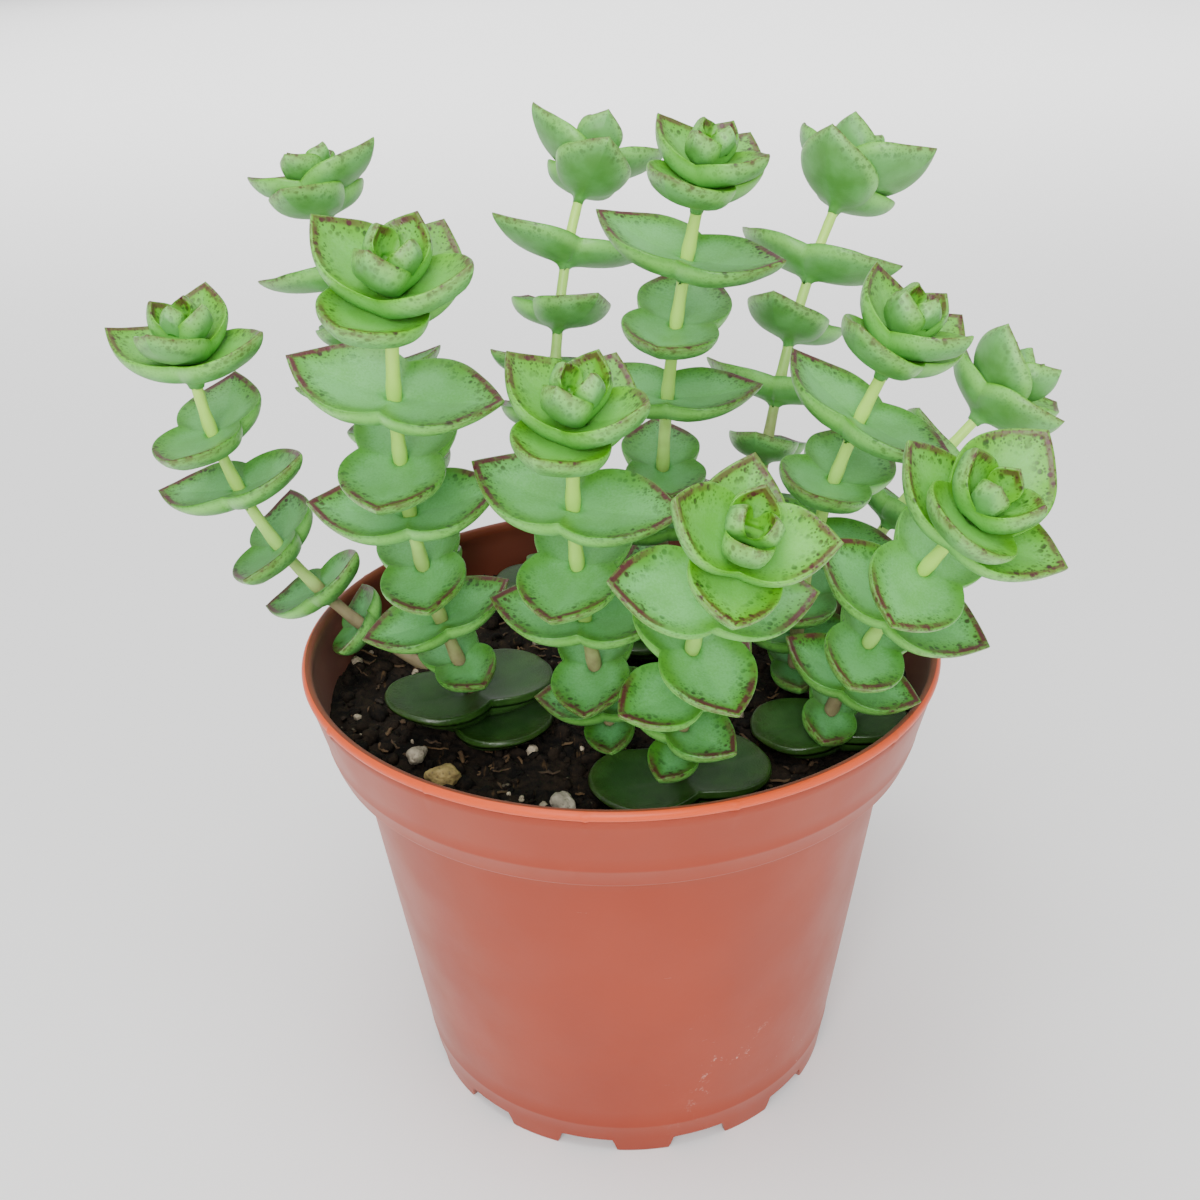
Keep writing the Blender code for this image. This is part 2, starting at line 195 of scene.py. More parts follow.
def arc(cr, cz, radius, start, stop, steps):
    """Points on a quarter or half round of the pot's outline."""
    out = []
    for i in range(steps + 1):
        a = math.radians(start + (stop - start) * i / steps)
        out.append((cr + radius * math.cos(a), cz + radius * math.sin(a)))
    return out


skirt = [0.0, 0.12, 0.35, 0.8, 1.4, 2.0, 2.6, 3.0]
outline = [(r * MM, FOOT_H) for r in (0, 6, 12, 18, 24, 30, 33, 35)]
outline += [(outer(z * MM) - WALL + (0.2 * MM if z < 0.2 else 0), z * MM) for z in skirt[::-1]]
outline += [(outer(z * MM) - (0.2 * MM if z < 0.1 else 0), z * MM) for z in skirt[:-1]]
foot_line = ((3.4, 0), (5.8, 0), (6.1, 0.09), (6.5, 0.09), (6.8, 0))  # height, and how far it stands out
outline += [(outer(z * MM) + rise * MM, z * MM) for z, rise in foot_line]
outline += [(outer(z * MM), z * MM) for z in (10, 16, 24, 32, 40, 48, 56, 61, 64.2)]
outline += [(WALL_R + 0.25 * MM, BAND_Z - 0.5 * MM), (WALL_R + 0.7 * MM, BAND_Z - 0.1 * MM)]
outline += arc(BAND_R - 0.8 * MM, BAND_Z + 0.75 * MM, 0.8 * MM, -90, 0, 6)
band_line = ((1.6, 0), (3.0, 0), (3.2, 0.10), (3.6, 0.10), (3.9, 0), (6, 0), (9, 0), (12, 0), (13.2, 0))
outline += [(outer(BAND_Z + h * MM) + rise * MM, BAND_Z + h * MM) for h, rise in band_line]
outline += arc(RIM_R - 0.85 * MM, POT_H - 0.85 * MM, 0.85 * MM, -75, 150, 14)
outline += [(RIM_R - 1.75 * MM, POT_H - 1.2 * MM), (inner(POT_H - 2.2 * MM), POT_H - 2.2 * MM)]
outline += [(inner(POT_H - h * MM), POT_H - h * MM) for h in (4, 7, 10, 13)]
outline += [(inner(BAND_Z + WALL + 0.3 * MM), BAND_Z + WALL + 0.3 * MM), (WALL_R - 0.6 * MM, BAND_Z + WALL),
            (WALL_R - WALL, BAND_Z + WALL - 0.5 * MM)]
outline += [(inner(z * MM), z * MM) for z in (62, 50, 38, 26, 14, 7)]
outline += arc(inner(FLOOR_Z) - 1.2 * MM, FLOOR_Z + 1.2 * MM, 1.2 * MM, 0, -90, 5)
outline += [(r * MM, FLOOR_Z) for r in (33, 30, 24, 18, 12, 6, 0)]

SIDES = 576
# small nibs of plastic left on the lip's edge by the mould: where in degrees, and height in millimetres
nibs = ((-148, 0.3), (-123, 0.22), (-97, 0.28), (-74, 0.34), (-41, 0.2), (12, 0.25), (80, 0.3), (151, 0.26))
points = []
for r, z in outline[1:-1]:
    for i in range(SIDES):
        a = 2 * math.pi * i / SIDES
        rr, zz = r, z
        if z < FOOT_H - 1e-6:
            # between two feet the skirt stops short, and the feet's sides slant
            part = ((a - FOOT_TURN) / (2 * math.pi / FEET)) % 1.0
            gap = min(1, max(0, (0.25 - abs(part - 0.5)) / 0.045 + 0.5))
            gap = gap * gap * (3 - 2 * gap)
            low = gap * FOOT_H * 0.9
            zz = low + z * (FOOT_H - low) / FOOT_H
            rr = r + outer(zz) - outer(z)
        elif r > RIM_R - 0.5 * MM:
            for at, high in nibs:
                off = math.remainder(a - math.radians(at), 2 * math.pi)
                rr += high * MM * math.exp(-((off / 0.006) ** 2))
        points.append((rr * math.cos(a), rr * math.sin(a), zz))
faces = grid_faces(len(outline) - 2, SIDES)
points += [(0, 0, outline[0][1]), (0, 0, outline[-1][1])]
last = (len(outline) - 3) * SIDES
for i in range(SIDES):
    faces.append((len(points) - 2, (i + 1) % SIDES, i))
    faces.append((len(points) - 1, last + i, last + (i + 1) % SIDES))
pot = piece("pot_shell", points, faces)

# the drain holes are cut in one go with a set of round drills
drill = bmesh.new()
for i in range(DRAINS + 1):
    a = 2 * math.pi * i / DRAINS + DRAIN_TURN
    far = DRAIN_RING_R if i < DRAINS else 0
    bmesh.ops.create_cone(
        drill, cap_ends=True, segments=48, radius1=DRAIN_R, radius2=DRAIN_R, depth=8 * MM,
        matrix=Matrix.Translation((far * math.cos(a), far * math.sin(a), FLOOR_Z)),
    )
cutter_mesh = bpy.data.meshes.new("drill")
drill.to_mesh(cutter_mesh)
cutter = bpy.data.objects.new("drill", cutter_mesh)
bpy.context.scene.collection.objects.link(cutter)
cut = pot.modifiers.new("holes", "BOOLEAN")
cut.operation, cut.solver, cut.object = "DIFFERENCE", "EXACT", cutter
bpy.context.view_layer.objects.active = pot
with bpy.context.temp_override(object=pot, active_object=pot, selected_objects=[pot]):
    bpy.ops.object.modifier_apply(modifier="holes")
bpy.data.objects.remove(cutter)

f = Finish("pot_plastic")
where = f.node("SeparateXYZ", f.place(), out=2)
flat = f.node("VectorMath", f.place(), (1, 1, 0), operation="MULTIPLY")
radius = f.node("VectorMath", flat, operation="LENGTH", out=1)
# mask of the rim's top, which gets a painted highlight further down
lip = f.span(where, POT_H - 1.75 * MM, POT_H - 1.45 * MM)
limit = f.sum(f.times(where, BAND_SLOPE), BAND_R - 0.6 * MM - BAND_SLOPE * BAND_Z)
# mask of the inside wall above the mix, where painted shade goes
inside = f.times(f.span(where, BAND_Z, BAND_Z + 2 * MM), f.sum(radius, limit, "LESS_THAN"))
colour = f.mix(f.span(f.cloud(38, 4), 0.3, 0.7), (0.235, 0.024, 0.0050), (0.275, 0.031, 0.0075))
# painted light: the wall is painted lighter towards the top, as if lit more from above
colour = f.mix(f.times(f.span(where, 0.0, 0.072), 0.35), colour, (0.310, 0.036, 0.0075))
dust = f.times(f.span(f.cloud(70, 8, 0.7), 0.60, 0.82), 0.42)
colour = f.mix(dust, colour, (0.400, 0.075, 0.040))
stretch = f.node("Mapping", f.place(), None, (0.5, 0.3, 0.9), (260, 260, 2200))
lines = f.span(f.cloud(1.0, 6, 0.75, stretch), 0.66, 0.74)
patch = f.span(f.cloud(34, 2), 0.52, 0.68)
scratch = f.times(f.times(lines, patch), 0.5)
colour = f.mix(scratch, colour, (0.80, 0.52, 0.44))
chalk = f.times(f.span(f.cloud(150, 6, 0.8), 0.60, 0.66), f.span(f.cloud(22, 1), 0.60, 0.70))
colour = f.mix(f.times(chalk, 0.5), colour, (0.84, 0.62, 0.54))
# painted highlight: the top of the lip is painted a brighter orange-red than the same plastic below
colour = f.mix(lip, colour, (0.600, 0.066, 0.008))
# painted shade: the inside wall above the mix is painted dark brown, the shade the pot's own wall casts there
colour = f.mix(f.times(inside, 0.9), colour, (0.110, 0.026, 0.013))
rough = f.sum(f.span(f.cloud(90, 5), 0.3, 0.7, 0.40, 0.50), f.times(scratch, 0.3))
skin = f.bump(f.cloud(900, 4), 0.02 * MM, 0.5)
skin = f.bump(f.cloud(26, 2), 0.5 * MM, 0.35, skin)
pot.data.materials.append(
    f.done(Base_Color=colour, Roughness=rough, Normal=skin, Specular_IOR_Level=0.38,
           Sheen_Weight=0.12, Sheen_Roughness=0.5, Sheen_Tint=(1.0, 0.75, 0.65))
)
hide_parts("pot")

# ================================================================ potting mix
# A plug of dark peat and bark with fine pumice, poured in around the roots and watered down.
# It fills the pot to about a centimetre under the lip, and its top is rough and fibrous.
SOIL_Z = 70.5 * MM


def ground(x, y):
    """Height of the mix at a place, from its broad heaps down to its crumbs."""
    a, b = x / MM, y / MM
    z = 0.6 * (math.sin(a * 0.21 + 0.6) * math.cos(b * 0.17) - 0.6 + 0.3 * math.sin(a * 0.5 + b * 0.4))
    at = Vector((a, b, 0))
    z += 0.55 * noise.noise(at * 0.35) + 0.42 * noise.noise(at * 0.9) + 0.30 * noise.noise(at * 2.1)
    z += 0.9 * max(0, noise.noise(at * 0.6 + Vector((9, 3, 1))) - 0.15)
    return SOIL_Z + z * MM


RINGS, AROUND = 120, 420
edge = inner(SOIL_Z) - 0.1 * MM
points = []
for k in range(1, RINGS + 1):
    r = edge * k / RINGS
    for i in range(AROUND):
        a = 2 * math.pi * (i + 0.5 * (k % 2)) / AROUND
        x, y = r * math.cos(a), r * math.sin(a)
        points.append((x, y, ground(x, y)))
# down the pot's inside and back to the middle of its floor
BED_Z = FLOOR_Z + 0.35 * MM
below = (
    (edge - 0.8 * MM, SOIL_Z - 2.4 * MM),
    (inner(BAND_Z + WALL + 0.1 * MM) - 0.5 * MM, BAND_Z + WALL + 0.4 * MM),
    (WALL_R - WALL - 0.4 * MM, BAND_Z),
    (inner(FLOOR_Z) - 0.8 * MM, BED_Z),
    (3 * MM, BED_Z),
)
for r, z in below:
    points += circle(r, z, AROUND)
faces = grid_faces(RINGS + len(below), AROUND)
points += [(0, 0, ground(0, 0)), (0, 0, BED_Z)]
last = (RINGS + len(below) - 1) * AROUND
for i in range(AROUND):
    faces.append((len(points) - 2, (i + 1) % AROUND, i))
    faces.append((len(points) - 1, last + i, last + (i + 1) % AROUND))
mix = piece("mix_plug", points, faces)


def peat(name):
    """Dark damp peat with pale fibres and specks of pumice."""
    f = Finish(name)
    grain = f.cloud(420, 6, 0.7)
    colour = f.mix(f.span(grain, 0.35, 0.68), (0.003, 0.0025, 0.002), (0.022, 0.014, 0.008))
    fibre = f.node("Mapping", f.place(), None, (0, 0, 0.6), (900, 160, 400))
    colour = f.mix(f.span(f.cloud(1.0, 3, 0.6, fibre), 0.62, 0.72, 0, 0.7), colour, (0.075, 0.043, 0.018))
    colour = f.mix(f.span(f.cloud(700, 2), 0.70, 0.76, 0, 0.6), colour, (0.17, 0.145, 0.10))
    skin = f.bump(grain, 0.5 * MM, 0.9)
    return f.done(Base_Color=colour, Roughness=0.93, Normal=skin, Specular_IOR_Level=0.2)


mix.data.materials.append(peat("peat"))
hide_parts("potting_mix")

# ================================================================ crumbs and bark on the mix
# Loose crumbs of peat, shreds of tan bark and grit of broken pumice lie pressed into the top.
# They came with the mix and are held by nothing but their weight.
random.seed(7)
lump = bmesh.new()
bmesh.ops.create_icosphere(lump, subdivisions=2, radius=1.0)
ball = [v.co.copy() for v in lump.verts]
ball_faces = [tuple(v.index for v in face.verts) for face in lump.faces]
lump.free()


def grains(count, small, large, flatness, squareness):
    """Points and faces of many rough grains strewn over the mix, and a random tone for each."""
    pts, fcs, tones = [], [], []
    for _ in range(count):
        r, a = (edge - 1.2 * MM) * math.sqrt(random.random()), random.uniform(0, 2 * math.pi)
        size = small + (large - small) * random.random() ** 2.5
        x, y = r * math.cos(a), r * math.sin(a)
        at = Vector((x, y, ground(x, y) + size * MM * 0.12))
        angle = random.uniform(0, 6)
        axle = Vector((random.gauss(0, 1), random.gauss(0, 1), random.gauss(0, 1)))
        turn = Matrix.Rotation(angle, 3, axle)
        push = Vector((random.random() * 99, random.random() * 99, 0))
        wide = Vector((1, random.uniform(0.6, 1), random.uniform(flatness, 1)))
        base, tone = len(pts), random.random()
        for p in ball:
            q = p * (1 + squareness * noise.noise(p * 1.3 + push) + 0.12 * noise.noise(p * 4 + push))
            q = turn @ Vector((q.x * wide.x, q.y * wide.y, q.z * wide.z))
            pts.append(at + q * size * MM * 0.5)
            tones.append(tone)
        fcs += [tuple(base + i for i in face) for face in ball_faces]
    return pts, fcs, tones


pts, fcs, tones = grains(1500, 0.6, 3.4, 0.5, 0.55)
crumbs = piece("mix_crumbs", pts, fcs, {"tone": tones})
crumbs.data.materials.append(peat("peat_crumbs"))

pts, fcs, tones = [], [], []
for _ in range(330):
    # a shred of bark: a thin bent strip with ragged width
    r, a = (edge - 1.5 * MM) * math.sqrt(random.random()), random.uniform(0, 2 * math.pi)
    long, wide = random.uniform(1.0, 4.2) * MM, random.uniform(0.25, 1.1) * MM
    x, y = r * math.cos(a), r * math.sin(a)
    head, tilt, bow = random.uniform(0, 6.28), random.uniform(-0.35, 0.35), random.uniform(-1, 1) * 0.25
    base, tone, steps = len(pts), random.random(), 7
    for k in range(steps):
        t = k / (steps - 1) - 0.5
        px = x + math.cos(head + bow * t) * long * t
        py = y + math.sin(head + bow * t) * long * t
        if math.hypot(px, py) > edge - 0.6 * MM:
            px, py = px * 0.93, py * 0.93
        pz = ground(px, py) + 0.35 * MM + math.sin(tilt) * long * t
        half = wide * 0.5 * (1 - (2 * t) ** 4 * 0.7) * random.uniform(0.7, 1.2)
        sx, sy = -math.sin(head), math.cos(head)
        for s, h in ((-1, 0), (0, 0.16 * MM), (1, 0), (0, -0.14 * MM)):
            pts.append((px + sx * half * s, py + sy * half * s, pz + h))
            tones.append(tone)
    fcs += [tuple(base + v for v in face) for face in grid_faces(steps, 4)]
    end = base + 4 * steps
    fcs += [(base, base + 1, base + 2, base + 3), (end - 1, end - 2, end - 3, end - 4)]
bark = piece("mix_bark", pts, fcs, {"tone": tones})
f = Finish("bark")
colour = f.mix(f.mark("tone"), (0.012, 0.007, 0.004), (0.120, 0.068, 0.026))
colour = f.mix(f.span(f.cloud(900, 3), 0.45, 0.65, 0, 0.5), colour, (0.10, 0.055, 0.028))
skin = f.bump(f.cloud(1500, 3), 0.1 * MM, 0.8)
bark.data.materials.append(f.done(Base_Color=colour, Roughness=0.85, Normal=skin))


def stone(name, tint=(0.25, 0.21, 0.15)):
    """Pale rough pumice, with painted shade darkening its pits."""
    f = Finish(name)
    pits = f.node("TexVoronoi", Vector=f.place(), Scale=1400)
    colour = f.mix(f.span(f.cloud(500, 5), 0.35, 0.7), tint, tuple(min(1, 2.1 * c) for c in tint))
    # painted shade: the pits are painted dark where shade would fall in them
    colour = f.mix(f.span(pits, 0.1, 0.35, 0.55, 0), colour, (0.10, 0.075, 0.05))
    skin = f.bump(pits, 0.25 * MM, 0.8)
    return f.done(Base_Color=colour, Roughness=0.9, Normal=skin, Specular_IOR_Level=0.3)


pts, fcs, tones = grains(95, 0.8, 2.6, 0.7, 0.35)
grit = piece("mix_grit", pts, fcs, {"tone": tones})
grit.data.materials.append(stone("pumice_grit"))

# ================================================================ large pumice
# Three larger grains of pumice, pale and pitted, that lie loose on the mix at the front left.
# place, width and height in millimetres, and colour
lumps = (
    (-27.6, -29.4, 4.6, 3.6, (0.20, 0.145, 0.055)),
    (-32.4, -22.6, 3.4, 2.6, (0.22, 0.19, 0.14)),
    (-9.6, -37.0, 3.6, 2.8, (0.25, 0.22, 0.17)),
)
for i, (x, y, wide, high, tint) in enumerate(lumps):
    lump = bmesh.new()
    bmesh.ops.create_icosphere(lump, subdivisions=5, radius=0.5)
    turn = Matrix.Rotation(i * 1.1, 3, "Z")
    for v in lump.verts:
        p = v.co * 2
        s = 1 + 0.09 * math.sin(4.5 * p.x + 3 * i) + 0.08 * math.cos(4 * p.y + 2.5 * p.z + i)
        s += 0.05 * noise.noise(p * 3) + 0.035 * noise.noise(p * 8)
        v.co = turn @ (Vector((v.co.x * wide * 1.15, v.co.y * wide * 0.85, v.co.z * high)) * s * MM)
    low = min(v.co.z for v in lump.verts)
    grain = piece(
        "pumice_grain_%d" % (i + 1),
        [v.co + Vector((x * MM, y * MM, SOIL_Z - low - 0.2 * MM)) for v in lump.verts],
        [[v.index for v in face.verts] for face in lump.faces],
    )
    lump.free()
    grain.data.materials.append(stone("pumice_%d" % (i + 1), tint))
    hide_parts("pumice_%d" % (i + 1))

# ================================================================ stems
# Eleven soft round stems, each grown from the mix as one shoot, light yellow-green near the top and
# tan and corky near the soil. They thicken a little towards the foot and at each leaf pair.
STEM_R = 0.95 * MM


class Shoot:
    """How one stem grew: lengths in millimetres, angles in degrees.

    root, lean, tip: where it leaves the mix, the point it bends by, and the underside of its crown.
    turn, drift: heading of the top pair, and the extra turn of each next pair.
    leaf, fade: length of the top pair's leaves, and the share that the lowest pair keeps.
    gaps: bare stem from one pair to the next. crown: size of the crown's three pairs, per leaf.
    old: broad first leaves at the foot, as height over the mix, heading and length.
    """

    def __init__(self, root, lean, tip, turn, drift, leaf, fade, gaps, crown, loose=3, old=(), cup=1.0):
        self.a = Vector((root[0], root[1], 0)) * MM + Vector((0, 0, SOIL_Z))
        self.b = Vector(lean) * MM + Vector((0, 0, SOIL_Z))
        self.c = Vector(tip) * MM + Vector((0, 0, SOIL_Z))
        self.turn, self.drift, self.leaf, self.fade = turn, drift, leaf, fade
        self.gaps, self.crown, self.loose, self.old, self.cup = gaps, crown, loose, old, cup

    def at(self, t):
        return self.a * (1 - t) ** 2 + self.b * (2 * t * (1 - t)) + self.c * t * t

    def along(self, t):
        return ((self.b - self.a) * (1 - t) + (self.c - self.b) * t).normalized()

    def pairs(self):
        """Place, direction, heading, leaf length, share of the way down, and if it is old, top pair first."""
        plan, first = [], list(self.old)
        for k, gap in enumerate(self.gaps):
            share = k / max(1, len(self.gaps) - 1)
            size = self.leaf * (1 - (1 - self.fade) * share**1.6)
            plan.append((gap, self.turn + k * (90 + self.drift), size))
        count = len(plan) + len(first)
        found, run, wanted, last = [], 0.0, 0.0, self.at(1)
        for i in range(399, -1, -1):
            p, way = self.at(i / 400), self.along(i / 400)
            run += (p - last).length
            last = p
            if plan and run >= wanted + plan[0][0] * MM:
                gap, turn, size = plan.pop(0)
                wanted += gap * MM
                found.append((p, way, math.radians(turn), size * MM, len(found) / count, False))
            elif first and not plan and p.z <= SOIL_Z + first[0][0] * MM:
                _, turn, size = first.pop(0)
                found.append((p, way, math.radians(turn), size * MM, 1.0, True))
        return found


shoots = {
    "a": Shoot((-21, -12), (-34, -19, 33), (-28.3, -34, 73.5), -16, 9, 15.4, 0.66,
               (11, 10.8, 9.8, 10.4, 11.0, 9.0), (0.92, 0.84, 0.50), old=((8.9, 35, 13.6), (4.6, -50, 13.0))),
    "b": Shoot((-35, 9), (-63, 6, 23), (-64.5, 2, 56), 78, 0, 14.6, 0.62, (8.9, 10.4, 12, 10.7, 9.6),
               (0.97, 0.78, 0.42)),
    "c": Shoot((-31, 28), (-41, 33, 38), (-48.5, 40, 72), -3, 12, 14.6, 0.60,
               (8.8, 10.4, 9.6, 9.4, 9, 9, 8.3), (0.90, 0.92, 0.50), cup=0.6),
    "d": Shoot((-1, -20), (-8, -30, 32), (-6, -38, 57), -21, 5, 15.2, 0.54, (8.7, 10.6, 10.4, 10.2, 7.8, 4.8),
               (0.88, 0.78, 0.46)),
    "e": Shoot((-11, 31), (-12, 42, 51), (-4, 52, 72), 22, 8, 15.0, 0.60, (9.1, 11.6, 9.9, 9.1, 9.2, 9, 8.5),
               (0.95, 0.98, 0.58), old=((5.2, 5, 11.5),)),
    "f": Shoot((9, 12), (5, 6, 42), (13, -2, 81), -24, 9, 15.6, 0.58, (8, 11, 12.4, 13, 10.5, 12, 9),
               (0.86, 0.64, 0.34), old=((5.4, 20, 12.5),), cup=0.85),
    "g": Shoot((24, 27), (29, 39, 45), (42, 50, 69), -27, 3, 16.0, 0.60, (10.2, 11.8, 11.2, 11, 10.2, 9.4),
               (0.98, 1.03, 0.60), old=((5.0, -62, 11.0),)),
    "h": Shoot((29, -4), (27, -9, 30), (39, -14, 59), -42, 8, 15.4, 0.58, (7.9, 10.7, 11.4, 10.4, 8, 6.4),
               (0.90, 0.74, 0.42)),
    "i": Shoot((37, 15), (45, 18, 20), (64, 23, 38), 40, 0, 14.0, 0.58, (9, 12, 9.0, 7),
               (1.0, 0.98, 0.60), loose=2),
    "j": Shoot((31, -19), (35, -26, 22), (44, -40, 44), 55, 3, 14.6, 0.62, (7.5, 9, 9.6, 9, 8),
               (0.92, 0.98, 0.55), old=((4.8, 14, 12.5),)),
    "k": Shoot((8, -33), (7, -40, 30), (12.5, -53, 47), 5, 14, 14.0, 0.56, (7.8, 11.5, 9.2, 7.8, 5.2),
               (0.88, 0.84, 0.46), old=((4.9, 22, 13.8),)),
}


def square(up, at):
    """A frame at a place with its Z axis along up and its X axis as near to +X as it can be."""
    ex = (Vector((1, 0, 0)) - up * up.x).normalized()
    return Matrix.Translation(at) @ Matrix((ex, up.cross(ex), up)).transposed().to_4x4()


f = Finish("stem_skin")
age = f.mark("age")
streak = f.cloud(260, 4)
colour = f.mix(f.span(age, 0.10, 0.50), (0.52, 0.88, 0.12), (0.40, 0.70, 0.14))
colour = f.mix(f.span(age, 0.48, 0.80), colour, (0.26, 0.21, 0.110))
corky = f.times(f.span(streak, 0.45, 0.7), f.span(age, 0.3, 0.8, 0.05, 0.6))
colour = f.mix(corky, colour, (0.13, 0.085, 0.045))
stem_skin = f.done(
    Base_Color=colour, Roughness=f.span(age, 0.3, 0.9, 0.42, 0.7),
    Normal=f.bump(streak, 0.15 * MM, 0.5),
    Subsurface_Weight=0.08, Subsurface_Radius=(0.7, 1.0, 0.25), Subsurface_Scale=1.0 * MM,
)
AROUND, STEPS = 20, 170
for n, (key, shoot) in enumerate(shoots.items()):
    nodes = [place for place, *_ in shoot.pairs()]
    foot = shoot.a - shoot.along(0) * 4 * MM
    path = [(foot, shoot.along(0), 1.0)]
    path += [(shoot.at(k / STEPS), shoot.along(k / STEPS), 1 - k / STEPS) for k in range(STEPS + 1)]
    path.append((shoot.c + shoot.along(1) * 2.2 * MM, shoot.along(1), 0.0))
    points, ages = [], []
    for at, way, share in path:
        near = min((at - node).length for node in nodes) / MM
        swell = 0.16 * math.exp(-((near / 1.6) ** 2))
        thick = STEM_R * (0.94 + 0.16 * share + swell + 0.03 * noise.noise(at * 400))
        fr = square(way, at)
        for i in range(AROUND):
            a = 2 * math.pi * i / AROUND
            rr = thick * (1 + 0.05 * noise.noise(Vector((math.cos(a) * 2, math.sin(a) * 2, at.z * 300 + n))))
            points.append(fr @ Vector((rr * math.cos(a), rr * math.sin(a), 0)))
            ages.append(min(1, share + 0.1 * noise.noise(at * 160)))
    faces = grid_faces(len(path), AROUND)
    faces += [tuple(range(AROUND)), tuple(range(len(points) - AROUND, len(points)))]
    stem = piece("shoot_" + key, points, faces, {"age": ages})
    stem.data.materials.append(stem_skin)
    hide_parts("stem_" + key)

# ================================================================ leaf pairs
# Each pair is two thick, blunt-pointed leaves grown together round the stem: waxy, blue-green and a little
# dished above, round like a hull below, with a purple-red margin and dark points behind it.
LEAF_T = 3.1 * MM  # thickness of a full leaf near the stem
LEAF_FULL = 15 * MM  # length of a leaf that has the full thickness
OLD_T = 3.8 * MM
CORNERS = 26  # points on a quarter of the edge


def half_width(s, old):
    """Half width of a leaf, per length, at a share of its length: blunt-pointed, or round if old."""
    if old:
        return (1 - s**2.6) ** 0.5 * (0.46 + 0.55 * s - 0.28 * s * s)
    return (1 - s) ** 1.03 * (0.37 + 1.09 * s)


def leaf_pair(length, thick, low, high, frame_at, share, rise=0.0, dish=1.0, neck=True, old=False):
    """Points, faces and marks of one pair of leaves with slopes low at the stem and high at the tips."""
    quarter = [1 - (k / CORNERS) ** 1.35 for k in range(CORNERS + 1)]
    if old:
        quarter = [max(0.0, math.cos(0.5 * math.pi * k / CORNERS)) for k in range(CORNERS + 1)]
    edge = [(s, half_width(s, old)) for s in quarter]
    outline = edge[:-1] + [(-s, w) for s, w in edge[:0:-1]]
    outline += [(-s, -w) for s, w in outline]
    seed = random.random() * 60
    left, right = random.gauss(1, 0.02), random.gauss(1, 0.02)
    bow = [random.gauss(0, math.radians(3)), random.gauss(0, math.radians(3))]
    lean = random.gauss(0, 0.025)
    bore = STEM_R * 0.9
    # rings from the stem out over the top, round the margin and back in under the leaf:
    # share of the way out, and depth under the top plane per thickness
    top = [(0, 0.62), (0.03, 0.46), (0.07, 0.36), (0.13, 0.31), (0.20, 0.29), (0.30, 0.27),
           (0.40, 0.25), (0.50, 0.22), (0.60, 0.19), (0.69, 0.165), (0.77, 0.14), (0.84, 0.115),
           (0.89, 0.10), (0.93, 0.085), (0.96, 0.08), (0.98, 0.09)]
    side = [(0.994, 0.13), (1.0, 0.20), (0.998, 0.28)]
    hull = [(0.985, 0.40), (0.96, 0.53), (0.925, 0.66), (0.88, 0.79), (0.82, 0.91), (0.74, 1.01),
            (0.65, 1.09), (0.55, 1.14), (0.45, 1.17), (0.36, 1.19), (0.28, 1.21), (0.21, 1.23),
            (0.15, 1.26), (0.10, 1.31), (0.05, 1.40), (0.02, 1.55), (0, 1.75)]
    if not neck:
        hull = [(v, min(d, 1.0 + 0.12 * (1 - v))) for v, d in hull]
    if old:
        top = [(v, 0.10 + 0.5 * d) for v, d in top]
        side = [(0.99, 0.22), (1.0, 0.38), (0.995, 0.55)]
    points, rims, tips, unders, flats = [], [], [], [], []
    rings = top + side + hull
    for ring, (v, depth) in enumerate(rings):
        below = max(0.0, min(1.0, (ring - len(top)) / 3))
        for x, y in outline:
            grow = right if x > 0 else left
            px, py = x * length * grow, y * length
            r = math.hypot(px, py)
            start = bore / r
            m = start + (1 - start) * v
            qx, qy = px * m, py * m
            # the margin waves a little and the whole leaf is a touch skewed
            wave = 0.14 * MM * v * v * noise.noise(Vector((px * 260, py * 260, seed)))
            s = abs(qx) / (length * grow)
            bend_by = max(1e-4, high + bow[0 if x > 0 else 1] - low)
            a = low + bend_by * s
            reach = length * grow
            along = reach / bend_by * (math.sin(a) - math.sin(low))
            up = reach / bend_by * (math.cos(low) - math.cos(a))
            # the face is a shallow dish: its sides stand up, most of all half way out
            side_lift = dish * 0.085 * length * (qy / (length * 0.49)) ** 2 * (1 - 0.3 * s)
            crease = -0.10 * MM * math.exp(-((qy / (0.9 * MM)) ** 2)) * min(1, 3 * s) * (1 - below)
            drop = depth * thick * (1 - 0.30 * s * s) if below else depth * thick
            way = 1 if qx >= 0 else -1
            shift = lean * qx
            points.append(
                frame_at @ Vector((way * (along + drop * math.sin(a)), qy + shift,
                                   up - drop * math.cos(a) + side_lift + wave + crease + rise))
            )
            rims.append((1 - m) * r / MM + (0.25 * (ring - len(top) - 1) if below > 0 else 0))
            tips.append(s)
            unders.append(below)
            flats.append((qx / MM, qy / MM, seed + depth * thick / MM))
    count = len(outline)
    faces = grid_faces(len(rings), count)
    faces += [tuple(range(count)), tuple(range(len(points) - count, len(points)))]
    total = len(points)
    marks = {"rim": rims, "tip": tips, "under": unders, "flat": flats, "age": [share] * total,
             "old": [float(old)] * total}
    return points, faces, marks


